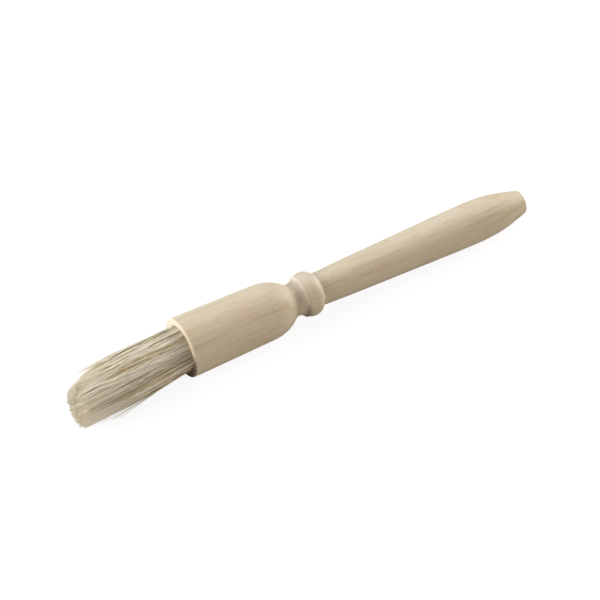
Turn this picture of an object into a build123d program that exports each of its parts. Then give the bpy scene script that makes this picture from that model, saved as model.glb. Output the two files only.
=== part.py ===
"""Round pastry brush: a turned wooden handle with a knot of natural bristle set in its socket."""

import os
from math import cos, hypot, radians, sin, tan

from build123d import *

os.makedirs("parts", exist_ok=True)

# ------------------------------------------------------------------ driving dimensions, mm
# The brush lies along X, bristle tips towards -X and the butt of the handle towards +X.
# The origin is under the middle of the brush, on the surface that it lies on.
# A station is a distance along the brush from the socket's mouth: positive in the handle,
# negative in the free bristles. Profile points are (station, radius).
handle_length = 163.0
free_length = 49.0
mouth_radius = 12.5
socket_radius = 9.7
socket_depth = 28.0

# barrel and shoulder
barrel_middle = (19.0, 12.19)
barrel_end = (38.3, 11.75)
shoulder_radius = 17.5
shoulder_turn = 38.0

# neck, and the ridge that stands at the front of the bead
cove_radius = 4.0
cove_turn = 79.0
ridge = (55.05, 8.66)
ridge_land = 0.24
ridge_step = 0.16

# bead and the groove behind it
bead_front = (55.42, 8.53)
bead_top = (58.2, 9.36)
groove = (62.65, 6.84)

# grip and butt
waist = (90.0, 7.76)
swell = (115.0, 8.42)
grip_top = (134.5, 8.82)
grip_fall = (147.5, 8.36)
butt_taper = (155.5, 6.95)
butt_radius = 5.05
grip_start_slope = 0.05
butt_slope = -0.25

# softened edges
mouth_outer_edge = 0.55
mouth_inner_edge = 0.25
butt_edge = 0.9

# knot of bristle: a centre lock and two rings of locks, each lock a bundle of bristles
inner_count = 6
outer_count = 12
lock_fill = 0.95
inner_spread = 2.0
outer_spread = 3.864
outer_twist = 15.0

# shares of the lock pattern's full size, at stations along the knot
knot_depth = 26.0
bound_station = 12.5
bound_share = 0.895
belly_station = -26.0
belly_share = 1.12
tip_share = 1.06
point_length = 3.0
point_share = 0.72

# free bristles: the knot leans down and to the near side, and its end is a little rounded and
# worn short on the side away from the lean
droop = 2.2
sway = 2.2
end_rounding = 0.6
worn_rounding = 4.5
worn_side = 41.0

# setting resin and binding thread
resin_depth = 18.0
binding_station = 15.0
thread_radius = 0.36
thread_turns = 5
thread_pitch = 0.76
thread_clearance = 0.05

# bending of the free bristles: up and down at the mouth, sideways further out
flex_range = 30.0
second_flex = -14.0
flex_gap = 0.3
cut_reach = 20.0

# ------------------------------------------------------------------ derived places
axis_height = mouth_radius
mouth_x = (free_length - handle_length) / 2
brush_axis = Axis((mouth_x, 0, axis_height), (1, 0, 0))
side = Plane(origin=(mouth_x, 0, axis_height), x_dir=(1, 0, 0), z_dir=(0, -1, 0))
above = Plane(origin=(mouth_x, 0, axis_height), x_dir=(1, 0, 0), z_dir=(0, 0, 1))
lock_pitch = socket_radius / (outer_spread + 1)
lock_radius = lock_fill * lock_pitch


def across(station):
    """Plane across the brush at a station: its X is the row's +Y, and its Y is up."""
    return Plane(
        origin=(mouth_x + station, 0, axis_height), x_dir=(0, 1, 0), z_dir=(1, 0, 0)
    )


def centre_at(station):
    """(sideways, up) place of the knot's centre line, from the handle's axis."""
    lean = min(station, 0) / free_length
    return (sway * lean, droop * lean)


def ring(count, spread, twist=0.0):
    """(sideways, up) places of a ring of locks, in the knot's full size."""
    turns = [radians(twist + 360 * i / count) for i in range(count)]
    return [(spread * lock_pitch * cos(t), spread * lock_pitch * sin(t)) for t in turns]


centre_lock = [(0.0, 0.0)]
inner_ring = ring(inner_count, inner_spread)
outer_ring = ring(outer_count, outer_spread, outer_twist)


# ------------------------------------------------------------------ handle
def make_handle():
    """One turned blank: barrel with a blind socket, shoulder, neck, bead, grip and butt."""
    with BuildPart() as handle:
        with BuildSketch(side):
            with BuildLine():
                barrel = ThreePointArc((0, mouth_radius), barrel_middle, barrel_end)
                shoulder = JernArc(barrel @ 1, barrel % 1, shoulder_radius, -shoulder_turn)
                cove = JernArc(shoulder @ 1, shoulder % 1, cove_radius, cove_turn)
                Polyline(
                    cove @ 1,
                    ridge,
                    (ridge[0] + ridge_land, ridge[1]),
                    (ridge[0] + ridge_land, ridge[1] - ridge_step),
                    bead_front,
                )
                ThreePointArc(bead_front, bead_top, groove)
                Spline(
                    groove,
                    waist,
                    swell,
                    grip_top,
                    grip_fall,
                    butt_taper,
                    (handle_length, butt_radius),
                    tangents=[(1, grip_start_slope), (1, butt_slope)],
                )
                Polyline(
                    (handle_length, butt_radius),
                    (handle_length, 0),
                    (socket_depth, 0),
                    (socket_depth, socket_radius),
                    (0, socket_radius),
                    (0, mouth_radius),
                )
            make_face()
        revolve(axis=brush_axis)
        rims = handle.edges().filter_by(GeomType.CIRCLE).sort_by(Axis.X)
        mouth_rims = rims[:2].sort_by(SortBy.RADIUS)
        fillet(mouth_rims[1], mouth_outer_edge)
        fillet(mouth_rims[0], mouth_inner_edge)
        butt_rim = handle.edges().filter_by(GeomType.CIRCLE).sort_by(Axis.X)[-1]
        fillet(butt_rim, butt_edge)
    return handle.part


# ------------------------------------------------------------------ bristle knot
def lock_section(place, station, share, radius_share=1.0):
    """One cross-section of a lock, on a plane across the brush."""
    centre = centre_at(station)
    with BuildSketch(across(station)) as section:
        with Locations((place[0] * share + centre[0], place[1] * share + centre[1])):
            Circle(lock_radius * share * radius_share)
    return section.sketch


def make_roots(places):
    """The set length of each lock, from its butt in the resin to the socket's mouth."""
    with BuildPart() as roots:
        for place in places:
            butt = lock_section(place, knot_depth, bound_share)
            bound = lock_section(place, bound_station, bound_share)
            mouth = lock_section(place, 0, 1.0)
            loft([butt, bound, mouth], ruled=True)
    return roots.part


def share_at(station):
    """Share of full size in the free length: it swells to the belly, then draws in."""
    if station > belly_station:
        return 1 + (belly_share - 1) * (1 - cos(radians(180 * station / belly_station))) / 2
    past_belly = (belly_station - station) / (belly_station + free_length)
    return belly_share + (tip_share - belly_share) * past_belly


def make_base(places):
    """The first free length of each lock. It hinges at the mouth and carries the tips."""
    half_turn = tan(radians(flex_range / 2))
    full_turn = tan(radians(flex_range))
    with BuildPart() as base:
        for place in places:
            mouth = lock_section(place, 0, 1.0)
            bend = lock_section(place, second_flex, share_at(second_flex))
            loft([mouth, bend], ruled=True)
        with BuildSketch(side):
            with BuildLine():
                Polyline(
                    (-flex_gap, 0),
                    (-flex_gap - cut_reach * full_turn, cut_reach),
                    (second_flex, cut_reach),
                    (second_flex, -cut_reach),
                    (-flex_gap - cut_reach * full_turn, -cut_reach),
                    close=True,
                )
            make_face()
        extrude(amount=cut_reach, both=True, mode=Mode.INTERSECT)
        with BuildSketch(above):
            with BuildLine():
                Polyline(
                    (second_flex + flex_gap / 2, 0),
                    (second_flex + flex_gap / 2 + cut_reach * half_turn, cut_reach),
                    (0, cut_reach),
                    (0, -cut_reach),
                    (second_flex + flex_gap / 2 + cut_reach * half_turn, -cut_reach),
                    close=True,
                )
            make_face()
        extrude(amount=cut_reach, both=True, mode=Mode.INTERSECT)
    return base.part


def end_station(place):
    """Where a lock's tip lies. worn_side is the worn side's angle above +Y, in degrees."""
    ring_radius = outer_spread * lock_pitch
    outward = hypot(*place) / ring_radius
    worn = place[0] * cos(radians(worn_side)) + place[1] * sin(radians(worn_side))
    worn = max(0.0, worn / ring_radius)
    return end_rounding * outward**2 + worn_rounding * worn**4 - free_length


def make_tips(places):
    """The outer free length of each lock, from the second hinge to its pointed tip."""
    half_turn = tan(radians(flex_range / 2))
    with BuildPart() as tips:
        for place in places:
            end = end_station(place)
            bend = lock_section(place, second_flex, share_at(second_flex))
            middle = lock_section(place, belly_station, belly_share)
            point = lock_section(place, end + point_length, share_at(end + point_length))
            tip = lock_section(place, end, share_at(end), point_share)
            loft([bend, middle, point, tip], ruled=True)
        with BuildSketch(above):
            with BuildLine():
                Polyline(
                    (second_flex - flex_gap / 2, 0),
                    (second_flex - flex_gap / 2 - cut_reach * half_turn, cut_reach),
                    (-free_length, cut_reach),
                    (-free_length, -cut_reach),
                    (second_flex - flex_gap / 2 - cut_reach * half_turn, -cut_reach),
                    close=True,
                )
            make_face()
        extrude(amount=cut_reach, both=True, mode=Mode.INTERSECT)
    return tips.part


# ------------------------------------------------------------------ what holds the knot
def make_binding_thread():
    """One thread wound round the knot in the socket, just in front of the resin."""
    knot_radius = (outer_spread * lock_pitch + lock_radius) * bound_share
    wound_length = thread_turns * thread_pitch
    with BuildPart() as thread:
        with BuildLine() as winding:
            Helix(
                pitch=thread_pitch,
                height=wound_length,
                radius=knot_radius + thread_clearance + thread_radius,
                center=(mouth_x + binding_station - wound_length / 2, 0, axis_height),
                direction=(1, 0, 0),
            )
        with BuildSketch(Plane(origin=winding.line @ 0, z_dir=winding.line % 0)):
            Circle(thread_radius)
        sweep()
    return thread.part


def make_setting_resin(roots):
    """The resin that fills the bottom of the socket, cast round the butts of the locks."""
    with BuildPart() as resin:
        with BuildSketch(across(socket_depth)):
            Circle(socket_radius)
        extrude(amount=resin_depth - socket_depth)
        for root in roots:
            add(root, mode=Mode.SUBTRACT)
    return resin.part


# ------------------------------------------------------------------ assembly
locks = {"centre": centre_lock, "inner": inner_ring, "outer": outer_ring}
pieces = {"handle": make_handle(), "binding_thread": make_binding_thread()}
for ring_name, places in locks.items():
    pieces[f"{ring_name}_bristle_roots"] = make_roots(places)
    pieces[f"{ring_name}_bristle_base"] = make_base(places)
    pieces[f"{ring_name}_bristle_tips"] = make_tips(places)
root_parts = [pieces[f"{ring_name}_bristle_roots"] for ring_name in locks]
pieces["setting_resin"] = make_setting_resin(root_parts)

for name, part in pieces.items():
    part.label = name
    export_step(part, f"parts/{name}.step")
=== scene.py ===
"""Round pastry brush on a pale floor: a turned wooden handle and a knot of natural bristle."""

from math import atan2, cos, pi, radians, sin

import bpy
import numpy as np
from mathutils import Matrix, Vector


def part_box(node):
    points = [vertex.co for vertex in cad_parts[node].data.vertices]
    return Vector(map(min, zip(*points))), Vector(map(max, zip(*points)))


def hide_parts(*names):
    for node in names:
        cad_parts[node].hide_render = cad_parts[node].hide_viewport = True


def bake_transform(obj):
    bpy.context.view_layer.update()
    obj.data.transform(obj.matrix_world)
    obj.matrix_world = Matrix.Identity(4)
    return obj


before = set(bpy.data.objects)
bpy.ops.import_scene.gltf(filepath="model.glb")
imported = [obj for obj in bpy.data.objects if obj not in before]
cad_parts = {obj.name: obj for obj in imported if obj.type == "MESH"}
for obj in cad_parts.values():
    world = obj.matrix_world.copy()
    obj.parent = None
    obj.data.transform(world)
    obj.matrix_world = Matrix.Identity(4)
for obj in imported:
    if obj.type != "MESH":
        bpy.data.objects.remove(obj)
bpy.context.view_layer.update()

MM = 0.001

# ------------------------------------------------------------------ places, from the CAD frame
handle_low, handle_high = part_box("handle")
mouth_x = handle_low.x
axis_z = (handle_low.z + handle_high.z) / 2
barrel_r = (handle_high.z - handle_low.z) / 2
free_mm = (mouth_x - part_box("centre_bristle_tips")[0].x) / MM


def at_station(station, sideways=0.0, up=0.0):
    """A point at a distance in mm from the socket's mouth, positive in the handle."""
    return Vector((mouth_x + station * MM, sideways * MM, axis_z + up * MM))


# ------------------------------------------------------------------ small helpers
def linear(red, green, blue):
    """A display colour, 0 to 255 a channel, as a linear colour."""
    def channel(value):
        value = value / 255
        return value / 12.92 if value <= 0.04045 else ((value + 0.055) / 1.055) ** 2.4
    return (channel(red), channel(green), channel(blue), 1.0)


def place_in_scene(name, data):
    """A new object in the scene with this mesh, lamp or camera."""
    made = bpy.data.objects.new(name, data)
    bpy.context.scene.collection.objects.link(made)
    return made


class Surface:
    """A node material with one Principled shader."""

    def __init__(self, name, roughness, specular=0.5):
        self.material = bpy.data.materials.new(name)
        self.material.use_nodes = True
        self.tree = self.material.node_tree
        self.shader = self.tree.nodes["Principled BSDF"]
        self.shader.inputs["Roughness"].default_value = roughness
        self.shader.inputs["Specular IOR Level"].default_value = specular

    def add(self, kind, settings=None, **inputs):
        """A node. Inputs are named with underscores for spaces, and take a value or a socket."""
        node = self.tree.nodes.new("ShaderNode" + kind)
        for key, value in (settings or {}).items():
            setattr(node, key, value)
        for key, value in inputs.items():
            self.feed(node.inputs[key.replace("_", " ")], value)
        return node

    def feed(self, socket, value):
        """Links a socket to an input, or sets the input's value."""
        if isinstance(value, bpy.types.NodeSocket):
            self.tree.links.new(value, socket)
        else:
            socket.default_value = value

    def set_input(self, name, value):
        """Feeds an input of the Principled shader."""
        self.feed(self.shader.inputs[name], value)

    def place(self):
        """The point on the object, in metres."""
        return self.add("TexCoord").outputs["Object"]

    def along_axis(self, vector, axis):
        """One component of a vector."""
        return self.add("SeparateXYZ", Vector=vector).outputs[axis]

    def number(self, name):
        """One of the numbers that a mesh keeps for each of its points."""
        return self.add("Attribute", {"attribute_name": name}).outputs["Fac"]

    def math(self, operation, first, second=0.5):
        """One sum, product or other operation on two values."""
        node = self.add("Math", {"operation": operation})
        self.feed(node.inputs[0], first)
        self.feed(node.inputs[1], second)
        return node.outputs[0]

    def mapped(self, source, scale, location=(0, 0, 0), rotation=(0, 0, 0)):
        """A point scaled, then turned, then moved."""
        node = self.add("Mapping", Scale=scale, Location=location, Rotation=rotation)
        self.tree.links.new(source, node.inputs["Vector"])
        return node.outputs[0]

    def noise(self, point, cycles, detail=2.0, roughness=0.5, distortion=0.0):
        """Noise with this many cycles a metre along X, Y and Z."""
        node = self.add(
            "TexNoise", Vector=self.mapped(point, cycles), Scale=1.0, Detail=detail,
            Roughness=roughness, Distortion=distortion,
        )
        return node.outputs["Fac"]

    def spread(self, value, low, high, to_low=0.0, to_high=1.0):
        """A value as a smooth step, from to_low at low to to_high at high."""
        node = self.add(
            "MapRange", {"interpolation_type": "SMOOTHSTEP"}, Value=value, From_Min=low,
            From_Max=high, To_Min=to_low, To_Max=to_high,
        )
        return node.outputs["Result"]

    def blend(self, factor, first, second):
        """A mix of two colours, the second one's share being the factor."""
        node = self.add("Mix", {"data_type": "RGBA", "blend_type": "MIX"})
        self.feed(node.inputs[0], factor)
        self.feed(node.inputs[6], first)
        self.feed(node.inputs[7], second)
        return node.outputs[2]

    def layered(self, colour, layers):
        """A colour with layers over it: (pattern, its low, its high, how strong, colour)."""
        for pattern, low, high, strength, tint in layers:
            colour = self.blend(self.spread(pattern, low, high, 0.0, strength), colour, tint)
        return colour

    def bump(self, height, strength, distance, below=None):
        """A normal with this height on it, distance in metres, over another normal."""
        node = self.add("Bump", Strength=strength, Distance=distance, Height=height)
        if below is not None:
            self.tree.links.new(below, node.inputs["Normal"])
        return node.outputs["Normal"]


# The direction, from +Y towards +Z, of the side of the mouth where shade is painted: low and
# near.
SHADED_SIDE = radians(221)


def reach_to_shade(surface, point):
    """How far a point lies from the handle's axis towards the shaded side, in metres."""
    to_axis = (0, -axis_z * sin(SHADED_SIDE), 0)
    turned = surface.mapped(point, (1, 1, 1), location=to_axis, rotation=(-SHADED_SIDE, 0, 0))
    return surface.along_axis(turned, "Y")


# ------------------------------------------------------------------ wood
# The middle of the tree's rings lies outside the handle. They hardly change along it.
RING_CENTRE = (0, 0.061, 0.038)
RING_STRETCH = (0.18, 1, 1)
RING_SCALE, TURNING_SCALE = 135.0, 900.0
GRAIN_DEPTH, TURNING_DEPTH = 0.12 * MM, 0.05 * MM


def make_wood():
    """Pale close-grained wood, turned and left bare: faint rings, fibres, flecks, blotches."""
    wood = Surface("bare_pale_wood", roughness=0.5, specular=0.35)
    place = wood.add("TexCoord")
    point = place.outputs["Object"]
    rings = wood.add(
        "TexWave",
        {"wave_type": "RINGS", "rings_direction": "X", "wave_profile": "SAW"},
        Vector=wood.mapped(point, RING_STRETCH, location=RING_CENTRE),
        Scale=RING_SCALE, Distortion=2.2, Detail=2.0, Detail_Scale=0.8,
    ).outputs["Fac"]
    fibre = wood.noise(point, (90, 2300, 2300), detail=3, roughness=0.6)
    streak = wood.noise(point, (22, 420, 420), detail=3, roughness=0.55)
    band = wood.noise(point, (10, 110, 110), detail=2)
    blotch = wood.noise(point, (60, 95, 95), detail=3, distortion=0.6)
    fleck = wood.noise(point, (520, 5200, 5200), detail=1)
    colour = wood.layered(
        linear(206, 190, 162),
        (
            (rings, 0.1, 1.0, 0.22, linear(188, 168, 138)),
            (band, 0.4, 0.68, 0.5, linear(213, 199, 173)),
            (streak, 0.5, 0.72, 0.55, linear(186, 162, 128)),
            (blotch, 0.52, 0.75, 0.35, linear(200, 168, 134)),
            (fibre, 0.52, 0.75, 0.4, linear(176, 150, 116)),
            (fleck, 0.64, 0.72, 0.35, linear(150, 120, 86)),
        ),
    )

    # The flat ends are paler. The mouth's face has painted shade on its low near side and painted
    # light on the side opposite it.
    facing = wood.along_axis(place.outputs["Normal"], "X")
    end_grain = wood.math("ABSOLUTE", facing)
    colour = wood.layered(colour, ((end_grain, 0.35, 0.95, 0.35, linear(206, 195, 174)),))
    mouth_face = wood.spread(facing, -0.85, -0.25, 1.0, 0.0)
    reach = reach_to_shade(wood, point)
    # Painted shade on the low near side of the mouth's face, then painted light on the side
    # opposite it.
    for start, full, tint in (
        (2 * MM, 9.5 * MM, linear(84, 62, 44)),
        (-1 * MM, -8 * MM, linear(238, 226, 206)),
    ):
        side = wood.spread(reach, start, full, 0.0, 0.8)
        colour = wood.blend(wood.math("MULTIPLY", side, mouth_face), colour, tint)
    wood.set_input("Base Color", colour)

    fine, coarse = wood.math("MULTIPLY", fibre, 0.6), wood.math("MULTIPLY", streak, 0.4)
    grain = wood.bump(wood.math("ADD", fine, coarse), 0.25, GRAIN_DEPTH)
    marks = wood.add(
        "TexWave", {"wave_type": "BANDS", "bands_direction": "X"},
        Vector=point, Scale=TURNING_SCALE, Distortion=1.5, Detail=1.0,
    ).outputs["Fac"]
    wood.set_input("Normal", wood.bump(marks, 0.05, TURNING_DEPTH, below=grain))
    wood.set_input("Roughness", wood.spread(streak, 0.3, 0.7, 0.46, 0.62))
    return wood.material


# ------------------------------------------------------------------ bristle
GLOW_SHARE = 0.1


def make_bristle():
    """Natural hog bristle: each hair its own shade of cream, gold or grey, paler to its tip.

    tone runs from cream to gold at about 0.65 and brown above it, shade from pale to grey, partly
    each hair's own grey and partly painted shade, and along from 0 at the mouth to 1 at the tip.
    """
    hair = Surface("natural_bristle", roughness=0.42, specular=0.45)
    tone, along, shade = (hair.number(name) for name in ("tone", "along", "shade"))
    point = hair.place()
    mottle = hair.noise(point, (300, 900, 900), detail=2)
    streak = hair.noise(point, (120, 2400, 2400), detail=1)

    # Greyer by the shade number, which is partly each hair's own grey and partly painted shade;
    # less towards the tips.
    faded = hair.math("MULTIPLY", hair.spread(shade, 0.15, 0.85), hair.spread(along, 0.9, 0.45))
    colour = hair.blend(faded, linear(255, 249, 229), linear(172, 153, 120))
    strong = hair.spread(along, 0.97, 0.75)
    for low, high, tint in (
        (0.4, 0.65, linear(228, 207, 150)),
        (0.66, 0.95, linear(124, 101, 60)),
    ):
        toned = hair.math("MULTIPLY", hair.spread(tone, low, high, 0.0, 0.95), strong)
        colour = hair.blend(toned, colour, tint)
    colour = hair.layered(
        colour,
        (
            (mottle, 0.35, 0.7, 0.3, linear(236, 222, 192)),
            (streak, 0.5, 0.7, 0.5, linear(166, 142, 102)),
        ),
    )
    # Painted shade: the hairs are darker near the mouth, most of all on its low near side.
    near_mouth = hair.math(
        "MULTIPLY", hair.spread(along, 0.2, 0.0, 0.0, 0.7), hair.spread(shade, 0.1, 0.7, 0.4, 1.0)
    )
    lower_side = hair.spread(reach_to_shade(hair, point), -8 * MM, 0.0, 0.15, 1.0)
    painted_mouth_shade = hair.math("MULTIPLY", near_mouth, lower_side)
    colour = hair.blend(painted_mouth_shade, colour, linear(122, 100, 70))
    colour = hair.layered(colour, ((along, 0.55, 0.9, 0.85, linear(255, 247, 226)),))
    hair.set_input("Base Color", colour)
    hair.set_input("Roughness", hair.spread(mottle, 0.3, 0.7, 0.36, 0.52))

    glow = hair.add("BsdfTranslucent", Color=colour)
    mixed = hair.add("MixShader", Fac=GLOW_SHARE)
    hair.feed(mixed.inputs[1], hair.shader.outputs["BSDF"])
    hair.feed(mixed.inputs[2], glow.outputs["BSDF"])
    hair.feed(hair.tree.nodes["Material Output"].inputs["Surface"], mixed.outputs["Shader"])
    return hair.material


# ------------------------------------------------------------------ resin and thread
def make_resin():
    """Cloudy amber adhesive."""
    resin = Surface("amber_setting_resin", roughness=0.25)
    cloud = resin.noise(resin.place(), (400, 400, 400), detail=3)
    clouded = resin.spread(cloud, 0.3, 0.7)
    amber = resin.blend(clouded, linear(150, 104, 52), linear(178, 134, 76))
    resin.set_input("Base Color", amber)
    resin.set_input("Normal", resin.bump(cloud, 0.3, 0.2 * MM))
    return resin.material


def make_thread():
    """Pale twisted thread."""
    thread = Surface("linen_binding_thread", roughness=0.75, specular=0.25)
    twist = thread.add(
        "TexWave", {"wave_type": "BANDS", "bands_direction": "DIAGONAL"},
        Vector=thread.place(), Scale=900.0, Distortion=1.0, Detail=1.0,
    ).outputs["Fac"]
    twisted = thread.blend(twist, linear(206, 196, 174), linear(170, 156, 128))
    thread.set_input("Base Color", twisted)
    thread.set_input("Normal", thread.bump(twist, 0.6, 0.1 * MM))
    return thread.material


# ------------------------------------------------------------------ the knot of bristle
# Lengths here are in mm: (sideways, up) across the brush, and stations along it. A hair's angle
# is its direction round the knot, from +Y towards +Z, in degrees. Its foot is its place at the
# mouth before the knot leans.
HAIRS = 7000
STRANDS = 420  # fine bundles of the knot's hairs
TUFTS = 110  # looser bundles
COARSE_HAIRS = 300
COARSE_GROUPS, GROUP_WIDTH = 109, 3.3  # groups of one colour, and degrees that each takes
WANDERING_HAIRS = 60
HAIR_SIDES = 3
HAIR_SPIN = 2.4  # radians, from one hair's corners to the next one's

# Stations of the rows of points. The pieces meet at CUT_S. Each piece keeps where it would bend,
# from BEND_START_S to CUT_S and from CUT_S to BEND_END_S, but nothing here bends it.
ROOT_S, BOUND_S, CUT_S = 24.0, 13.0, -12.0
BEND_START_S, BEND_END_S = 1.0, -27.0
LOWER_S = np.array([ROOT_S, BOUND_S, 0.0, -6.0, CUT_S])
UPPER_STEPS = np.array([0.0, 0.16, 0.34, 0.54, 0.74, 0.93, 1.0])
CUT_ROW = len(LOWER_S) - 1

# The knot's outline: its size at the belly and the tip as shares of that at the mouth, the lean
# of its tip, and how its end is rounded, tilted and worn on one side.
KNOT_R = 9.55
TUFTS_R = KNOT_R * 0.98
BELLY_S = -26.0
BELLY_SHARE, TIP_SHARE = 1.07, 1.03
DROOP, SWAY = 2.4, 2.9
END_ROUNDING, END_TILT = 1.0, 0.7
WORN_SIDE = radians(41)
WORN_ROUNDING, WORN_CORNER = 11.5, 5.0

# The locks inside the socket, as in the CAD: a ring of 6 and a ring of 12 round one, their
# distances in radii of a lock, and how far the binding draws them and their hairs together.
BORE_R = 9.7
LOCK_RINGS = ((6, 2.0, 0.0), (12, 3.864, 15.0))  # how many, distance, turn in degrees
LOCK_R = BORE_R / (1 + LOCK_RINGS[-1][1])
BOUND_SHARE, BOUND_HAIR_SHARE = 0.895, 0.62

# Least and greatest radius of the hairs. It shrinks by TAPER from TAPER_FROM, a share of the free
# length, and the very end is thinner still.
FINE_R, COARSE_R, STRAY_R = (0.085, 0.12), (0.105, 0.145), (0.1, 0.135)
TAPER, TAPER_FROM, END_THICKNESS = 0.15, 0.6, 0.55

# Golden and pale sides of the knot and their width, in degrees round it, how much they change the
# hairs' tone and shade, the lit side, and how much painted shade greys the side opposite it.
GOLDEN_SIDES = (115, 170, 205, 251, 298, 340, 21)
PALE_SIDES = (132, 76)
SIDE_WIDTH = 7.2
GOLDEN_SHARE, PALE_SHARE, PALE_CLEANER = 0.9, 0.6, 0.6
LIT_SIDE, UNDER_SHADE = 75, 0.3

# The knot's bundles: how unevenly they and the hairs are placed, the share of the way that hairs
# gather to their middles, and how far each tuft, strand and hair strays by its tip.
TUFT_SPREAD, STRAND_SPREAD, FOOT_SPREAD = 0.2, 0.12, 0.05
STRAND_GATHER, TUFT_GATHER = 0.34, 0.12
TUFT_WANDER, STRAND_WANDER, HAIR_WANDER = 0.2, 0.34, 0.2

# A hair's small wave: its height, and its phase at the tip in radians.
SWING, SWING_PHASE = 0.07, 8.0
SURFACE_SWING, SURFACE_SWING_PHASE = 0.06, 7.0

# What tone and shade are made of: the hair's own draw, its strand's and its tuft's, and painted
# shade. A hair at least STRAND_REACH from its strand's middle has all of BETWEEN_SHADE, and one
# deeper in the knot than DEEP_FROM by DEEP_BAND, as shares of its radius, all of DEEP_SHADE.
HAIR_TONE, STRAND_TONE, TUFT_TONE = 0.35, 0.55, 0.15
HAIR_SHADE, STRAND_SHADE, SHADE_START = 0.2, 0.4, -0.17
BETWEEN_SHADE, STRAND_REACH = 0.4, 0.55
DEEP_SHADE, DEEP_FROM, DEEP_BAND = 0.25, 0.93, 0.1

# Hairs laid on the surface: how far out they lie, how far back along their drift they start, and
# the share of a turn from one coarse hair to the next.
SURFACE_LIFT, DRIFT_START, COARSE_TURN = 0.06, 0.3, 0.618
COARSE_STAND, COARSE_DRIFT, COARSE_DARK_FROM = 0.12, 0.7, 0.6
WANDER_LENGTH, WANDER_STAND, WANDER_DRIFT = (26, 48), (0, 0.35), 3.0
STRAY_DARK_FROM = 0.45  # strays that stand off further than this are dark

# How much longer or shorter than the outline the hairs end. FEW_SHORTER reaches only a few, and
# a share of the coarse hairs is much shorter.
LONGER = 1.5
HAIR_SHORTER, TUFT_SHORTER, STRAND_SHORTER = 0.9, 0.5, 0.7
FEW_SHORTER, WORN_SHORTER = 5.0, 4.0
COARSE_SHORTER, SHORT_SHARE, SHORT_COARSE = 1.5, 0.3, 16

# Bake places: cells of a grid, one for each hair, with room round the hair in each.
BAKE_COLUMNS = 128
CELL_SIDE, CELL_END = 0.2, 0.08


def share_of(s):
    """Share of the knot's full size at stations s: it swells to the belly, then draws in."""
    swell = 1 + (BELLY_SHARE - 1) * (1 - np.cos(pi * np.clip(s / BELLY_S, 0, 1))) / 2
    past = np.clip((BELLY_S - s) / (BELLY_S + free_mm), 0, None)
    return np.where(s > BELLY_S, swell, BELLY_SHARE + (TIP_SHARE - BELLY_SHARE) * past)


def free_share(s):
    """Share of the CAD's free length at stations s: 0 inside the socket."""
    return np.clip(-s, 0, None) / free_mm


def lean_at(s):
    """(sideways, up) shift of the knot's centre line at stations s."""
    lean = np.minimum(s, 0) / free_mm
    return np.stack([SWAY * lean, DROOP * lean], -1)


def lock_places():
    """(sideways, up) of the 19 locks, centre first, then the ring of 6 and the ring of 12."""
    places = [(0.0, 0.0)]
    for count, distance, twist in LOCK_RINGS:
        for i in range(count):
            turn = radians(twist + 360 * i / count)
            places.append((distance * LOCK_R * cos(turn), distance * LOCK_R * sin(turn)))
    return np.array(places)


def sunflower(count, radius, turn=0.0):
    """Evenly spread places in a disc."""
    i = np.arange(count)
    r = radius * np.sqrt((i + 0.5) / count)
    a = i * pi * (3 - 5**0.5) + turn
    return np.stack([r * np.cos(a), r * np.sin(a)], 1)


def nearest(points, places):
    """Which of the places each point is nearest to."""
    return np.argmin(((points[:, None] - places[None]) ** 2).sum(2), 1)


def stations_to(length):
    """Stations of every row of points along hairs of these free lengths."""
    lower = np.repeat(LOWER_S[None], len(length), 0)
    upper = CUT_S + UPPER_STEPS[None] * (-length - CUT_S)[:, None]
    return np.concatenate([lower, upper[:, 1:]], 1)


def swung(rng, along, size, phase):
    """A small wave along each hair, nothing at the mouth, with its own start and direction."""
    count = len(along)
    swing = rng.normal(0, size, (count, 1, 2)) * np.clip(along * 4, 0, 1)[..., None]
    return swing * np.sin(along * phase + rng.random((count, 1)) * 2 * pi)[..., None]


class Hairs:
    """Bristles, one row a hair: stations, places across the brush, radii and colour numbers."""

    def __init__(self, s, across, thick, lock, colours):
        self.s, self.across, self.thick, self.lock, self.colours = s, across, thick, lock, colours

    def part(self, chosen, rows):
        """Some of the hairs, and some of the rows of points along them."""
        colours = {name: value[chosen][:, rows] for name, value in self.colours.items()}
        return Hairs(
            self.s[chosen][:, rows], self.across[chosen][:, rows], self.thick[chosen][:, rows],
            self.lock[chosen], colours,
        )


def finish_hairs(s, free_across, foot, thick, tone, shade):
    """Hairs from their free shape: gathered into their locks inside the socket, and leaning."""
    locks = lock_places()
    lock = nearest(foot, locks)
    root = locks[lock] * BOUND_SHARE + (foot - locks[lock]) * BOUND_HAIR_SHARE
    inside = np.clip(s / BOUND_S, 0, 1)[..., None]
    across = free_across * (1 - inside) + root[:, None] * inside + lean_at(s)
    free = free_share(s)
    taper = TAPER * np.clip((free - TAPER_FROM) / (1 - TAPER_FROM), 0, 1) ** 1.5
    radius = thick[:, None] * (1 - taper)
    radius[:, -1] *= END_THICKNESS
    even = np.ones_like(s)
    colours = {"tone": tone[:, None] * even, "shade": shade[:, None] * even, "along": free}
    return Hairs(s, across, radius, lock, colours)


def colour_numbers(rng, angle, tone, shade):
    """Tone and shade, changed by the sides that are golden or pale, and painted shade on the
    under side.
    """
    def beside(sides):
        off = np.abs((angle[:, None] - np.array(sides)[None] + 180) % 360 - 180).min(1)
        return np.exp(-((off / SIDE_WIDTH) ** 2))
    golden = GOLDEN_SHARE * beside(GOLDEN_SIDES)
    pale = PALE_SHARE * beside(PALE_SIDES)
    # Painted shade: the further a hair lies from the lit side, the greyer it is.
    under = 0.5 - 0.5 * np.cos(np.radians(angle - LIT_SIDE))
    golden_tone = 0.75 + 0.25 * rng.random(len(angle))
    tone = (tone * (1 - golden) + golden_tone * golden) * (1 - pale)
    return tone, np.clip(shade + UNDER_SHADE * under - PALE_CLEANER * pale, 0, 1)


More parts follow.
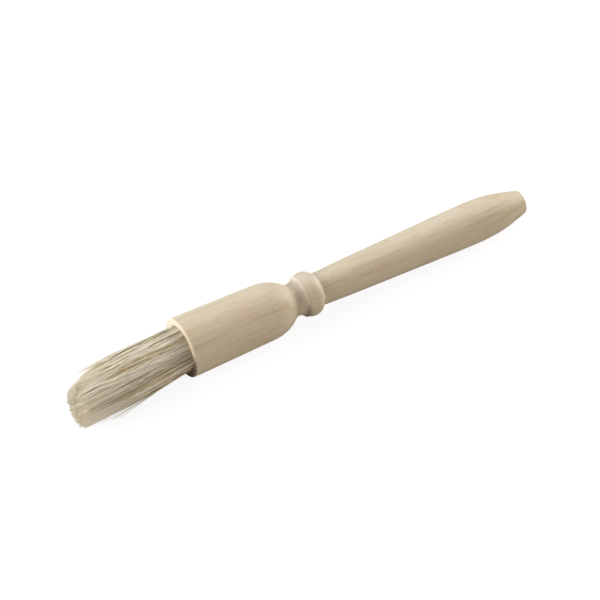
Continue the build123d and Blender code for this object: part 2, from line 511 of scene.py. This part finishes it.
def grow_knot(rng):
    """The bristles of the knot, in fine strands that gather into tufts."""
    foot = sunflower(HAIRS, KNOT_R) + rng.normal(0, FOOT_SPREAD, (HAIRS, 2))
    far = np.linalg.norm(foot, axis=1)
    foot *= np.minimum(1, KNOT_R / far)[:, None]
    far = np.minimum(far, KNOT_R) / KNOT_R
    tuft_at = sunflower(TUFTS, TUFTS_R, 0.5) + rng.normal(0, TUFT_SPREAD, (TUFTS, 2))
    strand_at = sunflower(STRANDS, KNOT_R, 0.2) + rng.normal(0, STRAND_SPREAD, (STRANDS, 2))
    tuft = nearest(foot, tuft_at)
    strand = nearest(foot, strand_at)

    towards_worn = foot @ [cos(WORN_SIDE), sin(WORN_SIDE)] / KNOT_R
    worn = np.clip(towards_worn, 0, None)
    length = free_mm - END_ROUNDING * far**4 - END_TILT * towards_worn
    length -= WORN_ROUNDING * worn**4 + WORN_CORNER * worn**12
    length += (
        LONGER - np.abs(rng.normal(0, HAIR_SHORTER, HAIRS))
        - FEW_SHORTER * rng.random(HAIRS) ** 7
    )
    length -= (
        np.abs(rng.normal(0, TUFT_SHORTER, TUFTS))[tuft]
        + np.abs(rng.normal(0, STRAND_SHORTER, STRANDS))[strand]
    )
    length -= WORN_SHORTER * worn**3 * rng.random(HAIRS) ** 2
    s = stations_to(length)

    free = free_share(s)
    across = foot[:, None] * share_of(s)[..., None]
    gather = (STRAND_GATHER * np.clip(free * 5, 0, 1))[..., None]
    across += gather * (strand_at[strand] - foot)[:, None]
    across += (TUFT_GATHER * free**2)[..., None] * (tuft_at[tuft] - foot)[:, None]
    for power, wander, count, bundle in (
        (1.5, TUFT_WANDER, TUFTS, tuft),
        (1.0, STRAND_WANDER, STRANDS, strand),
        (1.2, HAIR_WANDER, HAIRS, np.arange(HAIRS)),
    ):
        across += (free**power)[..., None] * rng.normal(0, wander, (count, 2))[bundle][:, None]
    across += swung(rng, free, SWING, SWING_PHASE)
    reach = np.linalg.norm(across, axis=2) / (KNOT_R * share_of(s))
    across /= np.maximum(1, reach)[..., None] ** 0.8

    # Painted shade: a hair between strands or deep in the knot is greyer than one on a strand's
    # crest.
    angle = np.degrees(np.arctan2(foot[:, 1], foot[:, 0]))
    tone = HAIR_TONE * rng.random(HAIRS) + STRAND_TONE * rng.random(STRANDS)[strand]
    tone += TUFT_TONE * rng.random(TUFTS)[tuft]
    shade = HAIR_SHADE * rng.random(HAIRS) + STRAND_SHADE * rng.random(STRANDS)[strand]
    shade += SHADE_START
    off_crest = np.linalg.norm(foot - strand_at[strand], axis=1) / STRAND_REACH
    deep = np.clip((DEEP_FROM - far) / DEEP_BAND, 0, 1)
    shade += BETWEEN_SHADE * np.clip(off_crest, 0, 1) ** 2 + DEEP_SHADE * deep
    tone, shade = colour_numbers(rng, angle, tone, shade)
    return finish_hairs(s, across, foot, rng.uniform(*FINE_R, HAIRS), tone, shade)


def lay_on_surface(rng, angle, length, stand, drift, thick, tone, shade):
    """Hairs on the knot's surface that, by their ends, stand off it and drift round it, in mm."""
    s = stations_to(length)
    along = np.clip(-s, 0, None) / length[:, None]
    far = KNOT_R * share_of(s) + SURFACE_LIFT * np.clip(along * 6, 0, 1)
    far = far + stand[:, None] * along**2.2
    drifted = drift[:, None] * (along**1.3 - DRIFT_START) / KNOT_R
    turn = np.radians(angle)[:, None] + drifted
    across = np.stack([far * np.cos(turn), far * np.sin(turn)], -1)
    across += swung(rng, along, SURFACE_SWING, SURFACE_SWING_PHASE)
    foot = KNOT_R * np.stack([np.cos(turn[:, 0]), np.sin(turn[:, 0])], 1)
    return finish_hairs(s, across, foot, thick, tone, shade)


def grow_surface_hairs(rng):
    """Coarse bristles, pale and dark, that lie along the knot's surface and cross a little."""
    count = COARSE_HAIRS
    angle = (np.arange(count) * 360 * COARSE_TURN + rng.normal(0, 0.4, count)) % 360
    worn = np.clip(np.cos(np.radians(angle) - WORN_SIDE), 0, None)
    length = free_mm - END_ROUNDING - WORN_ROUNDING * worn**4 - WORN_CORNER * worn**12
    length -= COARSE_SHORTER * rng.random(count)
    length -= SHORT_COARSE * (rng.random(count) < SHORT_SHARE) * rng.random(count)
    group = np.floor(angle / GROUP_WIDTH).astype(int) % COARSE_GROUPS
    draw = 0.5 * rng.random(COARSE_GROUPS)[group] + 0.5 * rng.random(count)
    dark = draw > COARSE_DARK_FROM
    tone = np.where(dark, rng.uniform(0.7, 1.0, count), 0.3 * rng.random(count))
    shade = np.where(dark, rng.uniform(0.5, 1.0, count), 0.1 * rng.random(count))
    tone, shade = colour_numbers(rng, angle, tone, shade)
    return lay_on_surface(
        rng, angle, length, COARSE_STAND * rng.random(count), rng.normal(0, COARSE_DRIFT, count),
        rng.uniform(*COARSE_R, count), tone, shade,
    )


def grow_strays(rng):
    """Loose hairs: some wander across the knot's surface, and some stand away from it."""
    # angle, free length, how far it stands off at its end, how far it drifts round
    placed = (
        (44, 45.0, 0.5, -1.0), (38, 43.5, 0.9, 0.5), (52, 46.5, 0.4, -1.5),
        (33, 41.0, 0.8, 1.0), (214, 34.0, 2.6, 1.6), (219, 37.0, 2.1, 0.8),
        (208, 38.0, 1.6, 2.2), (226, 42.0, 1.2, 1.0), (70, 48.0, 0.4, 3.0),
        (100, 47.5, 0.3, -3.0), (330, 40.0, 1.6, 1.5), (280, 38.0, 1.0, -1.5),
        (262, 45.0, 0.7, 1.0), (12, 43.0, 1.4, 1.0), (350, 46.0, 1.2, -2.0),
        (128, 44.0, 0.3, -3.4), (142, 40.0, 0.2, -3.8), (120, 36.0, 0.2, 2.6),
    )
    wandering = tuple(
        (
            rng.uniform(0, 360), rng.uniform(*WANDER_LENGTH), rng.uniform(*WANDER_STAND),
            rng.normal(0, WANDER_DRIFT),
        )
        for _ in range(WANDERING_HAIRS)
    )
    angle, length, stand, drift = np.array(placed + wandering).T
    dark = stand > STRAY_DARK_FROM
    thick = rng.uniform(*STRAY_R, len(angle))
    return lay_on_surface(rng, angle, length, stand, drift, thick, 0.75 * dark, 0.9 * dark)


def together(sets):
    """Sets of hairs as one."""
    def joined(arrays):
        return np.concatenate(list(arrays))
    return Hairs(
        *[joined(getattr(h, name) for h in sets) for name in ("s", "across", "thick", "lock")],
        {name: joined(h.colours[name] for h in sets) for name in sets[0].colours},
    )


def bake_places(count, rows, sides):
    """Picture places of every corner of the tubes: each hair has one upright cell of a grid."""
    lines = -(-count // BAKE_COLUMNS)
    hair = np.arange(count)[:, None, None, None]
    side = np.arange(sides)[None, None, :, None] + np.array([0, 0, 1, 1])
    row = np.arange(rows - 1)[None, :, None, None] + np.array([0, 1, 1, 0])
    wide, high = 1 - 2 * CELL_SIDE, 1 - 2 * CELL_END
    u = (hair % BAKE_COLUMNS + CELL_SIDE + wide * side / sides) / BAKE_COLUMNS
    v = (hair // BAKE_COLUMNS + CELL_END + high * row / (rows - 1)) / lines
    walls = np.stack(np.broadcast_arrays(u, v), -1)
    first, last = walls[:, 0, :, 0], walls[:, -1, ::-1, 1]
    return np.concatenate([walls.reshape(-1, 2), first.reshape(-1, 2), last.reshape(-1, 2)])


def tube_mesh(name, hairs, sides):
    """One closed tube for each hair, with its colour numbers on its points."""
    count, rows = hairs.s.shape
    # The first and last rings are there twice, for the wall and for the end that closes it.
    order = np.concatenate([np.arange(rows), [0, rows - 1]])
    rings = rows + 2
    spin = (np.arange(count) * HAIR_SPIN)[:, None, None] + np.arange(sides) * 2 * pi / sides
    y = hairs.across[..., 0, None] + hairs.thick[..., None] * np.cos(spin)
    z = hairs.across[..., 1, None] + hairs.thick[..., None] * np.sin(spin)
    x = np.repeat(hairs.s[..., None], sides, 2)
    points = np.stack([mouth_x + x * MM, y * MM, axis_z + z * MM], -1)[:, order].reshape(-1, 3)

    base = (np.arange(count) * rings * sides)[:, None, None]
    row = (np.arange(rows - 1) * sides)[None, :, None]
    j = np.arange(sides)[None, None]
    k = (j + 1) % sides
    corners = (base + row + j, base + row + sides + j, base + row + sides + k, base + row + k)
    quads = np.stack(corners, -1).reshape(-1, 4)
    first = base[:, 0, 0][:, None] + rows * sides + np.arange(sides)[None]
    last = first[:, ::-1] + sides

    loops = np.concatenate([quads.ravel(), first.ravel(), last.ravel()])
    sizes = np.concatenate([np.full(len(quads), 4), np.full(2 * count, sides)])
    mesh = bpy.data.meshes.new(name)
    mesh.vertices.add(len(points))
    mesh.vertices.foreach_set("co", points.astype(np.float32).ravel())
    mesh.loops.add(len(loops))
    mesh.loops.foreach_set("vertex_index", loops.astype(np.int32))
    mesh.polygons.add(len(sizes))
    mesh.polygons.foreach_set("loop_start", (np.cumsum(sizes) - sizes).astype(np.int32))
    mesh.polygons.foreach_set("use_smooth", np.zeros(len(sizes), bool))
    mesh.update(calc_edges=True)

    places = mesh.uv_layers.new(name="OFBake")
    places.uv.foreach_set("vector", bake_places(count, rows, sides).astype(np.float32).ravel())
    for label, value in hairs.colours.items():
        attribute = mesh.attributes.new(label, "FLOAT", "POINT")
        value = np.repeat(value[:, order], sides, 1)
        attribute.data.foreach_set("value", value.astype(np.float32).ravel())
    return mesh


rng = np.random.default_rng(7)
knot = together([grow_knot(rng), grow_surface_hairs(rng), grow_strays(rng)])
bristle = make_bristle()
# Each part: its rows of points, the CAD nodes it stands for, its two bodies, where it bends.
PARTS = {
    "base": (
        slice(0, CUT_ROW + 1), ("roots", "base"), ("handle", "bristle_base"),
        (BEND_START_S, CUT_S),
    ),
    "tips": (
        slice(CUT_ROW, None), ("tips",), ("bristle_base", "bristle_tips"),
        (CUT_S, BEND_END_S),
    ),
}
for ring, first_lock, last_lock in (("centre", 0, 0), ("inner", 1, 6), ("outer", 7, 18)):
    mine = (knot.lock >= first_lock) & (knot.lock <= last_lock)
    for part, (rows, nodes, bodies, (start, end)) in PARTS.items():
        name = f"{ring}_bristles_{part}"
        mesh = tube_mesh(name, knot.part(mine, rows), HAIR_SIDES)
        mesh.materials.append(bristle)
        piece = place_in_scene(name, mesh)
        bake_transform(piece)
        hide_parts(*[f"{ring}_bristle_{node}" for node in nodes])

# ------------------------------------------------------------------ materials on the CAD nodes
for node, material in (
    ("handle", make_wood()),
    ("setting_resin", make_resin()),
    ("binding_thread", make_thread()),
):
    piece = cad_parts[node]
    piece.data.materials.clear()
    piece.data.materials.append(material)

# ------------------------------------------------------------------ floor
# The brush lies on its barrel's edge and on the thickest part of its grip, so the floor leans.
GRIP_REST_S = 134.5
GRIP_REST_R = 8.82
FLAT_R, RIM_R, RIM_H = 1.2, 2.6, 2.2  # metres: the flat part, and the rim that curves up
AROUND, UP_STEPS = 96, 16
CARD_BELOW = 0.5 * MM


def floor_shape():
    """Points and faces of a round floor whose rim curves up, with no edge in sight."""
    points = [(0.0, 0.0, 0.0)]
    for step in range(UP_STEPS + 1):
        climb = radians(90 * step / UP_STEPS)
        out, rise = FLAT_R + (RIM_R - FLAT_R) * sin(climb), RIM_H * (1 - cos(climb))
        for j in range(AROUND):
            turn = 2 * pi * j / AROUND
            points.append((out * cos(turn), out * sin(turn), rise))
    faces = [(0, 1 + j, 1 + (j + 1) % AROUND) for j in range(AROUND)]
    for step in range(UP_STEPS):
        for j in range(AROUND):
            a, b = 1 + step * AROUND + j, 1 + step * AROUND + (j + 1) % AROUND
            faces.append((a, a + AROUND, b + AROUND, b))
    return points, faces


def matte(name, first, second):
    """A matte surface with a faint even speckle of two colours."""
    surface = Surface(name, roughness=0.9, specular=0.0)
    speckle = surface.add("TexNoise", Vector=surface.place(), Scale=40.0).outputs["Fac"]
    speckled = surface.blend(surface.spread(speckle, 0.3, 0.7), first, second)
    surface.set_input("Base Color", speckled)
    return surface


lean = atan2(barrel_r - GRIP_REST_R * MM, GRIP_REST_S * MM)
resting = Matrix.Translation((mouth_x, 0, 0)) @ Matrix.Rotation(-lean, 4, "Y")
floor_points, floor_faces = floor_shape()
floor_mesh = bpy.data.meshes.new("floor")
floor_mesh.from_pydata(floor_points, [], floor_faces)
floor_mesh.shade_smooth()
floor_surface = matte("pale_floor", linear(112, 112, 112), linear(116, 116, 116))
floor_surface.shader.inputs["Emission Color"].default_value = (1, 1, 1, 1)
floor_surface.shader.inputs["Emission Strength"].default_value = 0.9
floor_mesh.materials.append(floor_surface.material)
floor = place_in_scene("floor", floor_mesh)
floor.matrix_world = resting
floor.visible_diffuse = False
floor.visible_glossy = False
floor.visible_shadow = False

# A card just under the floor bounces light up at the brush. The camera doesn't see it.
card_surface = matte("bounce_card", linear(212, 210, 206), linear(216, 214, 210))
card_mesh = bpy.data.meshes.new("bounce_card")
card_mesh.from_pydata([(-1, -1, 0), (1, -1, 0), (1, 1, 0), (-1, 1, 0)], [], [(0, 1, 2, 3)])
card_mesh.materials.append(card_surface.material)
card = place_in_scene("bounce_card", card_mesh)
card.matrix_world = Matrix.Translation((0, 0, -CARD_BELOW)) @ resting
card.visible_camera = False


# ------------------------------------------------------------------ light
def dome(strength, colour):
    """Even light from all round."""
    world = bpy.data.worlds.new("studio")
    world.use_nodes = True
    background = world.node_tree.nodes["Background"]
    background.inputs["Color"].default_value = (*colour, 1)
    background.inputs["Strength"].default_value = strength
    bpy.context.scene.world = world


def softbox(name, place, width, depth, power, colour):
    """A rectangular lamp, width along X, aimed at the brush. Its power is in watts."""
    data = bpy.data.lights.new(name, "AREA")
    data.shape = "RECTANGLE"
    data.size = width
    data.size_y = depth
    data.energy = power
    data.color = colour
    lamp = place_in_scene(name, data)
    lamp.visible_camera = False
    lamp.location = place
    lamp.rotation_euler = (-Vector(place)).to_track_quat("-Z", "Y").to_euler()


# The softboxes: place, width, depth, power, colour.
dome(0.04, (1.0, 0.965, 0.94))
softbox("top_softbox", (0.0, 0.95, 1.05), 1.4, 0.8, 18.8, (0.77, 0.84, 1.0))
softbox("left_softbox", (-1.4, 0.1, 0.5), 0.8, 0.8, 20.5, (1.0, 0.97, 0.91))
softbox("right_softbox", (1.4, 0.1, 0.5), 0.8, 0.8, 19, (1.0, 1.0, 0.93))
softbox("front_softbox", (0.1, -1.2, 0.7), 0.8, 0.8, 5.3, (1.0, 0.9, 0.86))

# ------------------------------------------------------------------ camera
# It looks at a point near the brush's middle, from the photograph's direction.
CAMERA_TURN = radians(-31.81)
CAMERA_RISE = radians(44.22)
CAMERA_AIM = at_station(53.85, -1.8, 0.3)
CAMERA_DISTANCE = 1.0
back = Vector(
    (
        sin(CAMERA_TURN) * cos(CAMERA_RISE),
        -cos(CAMERA_TURN) * cos(CAMERA_RISE),
        sin(CAMERA_RISE),
    )
)
camera_data = bpy.data.cameras.new("camera")
camera_data.sensor_width = 36
camera_data.lens = 150
camera = place_in_scene("camera", camera_data)
camera.location = CAMERA_AIM + back * CAMERA_DISTANCE
camera.rotation_mode = "QUATERNION"
camera.rotation_quaternion = (-back).to_track_quat("-Z", "Y")
bpy.context.scene.camera = camera
bpy.context.scene.view_settings.view_transform = "Standard"
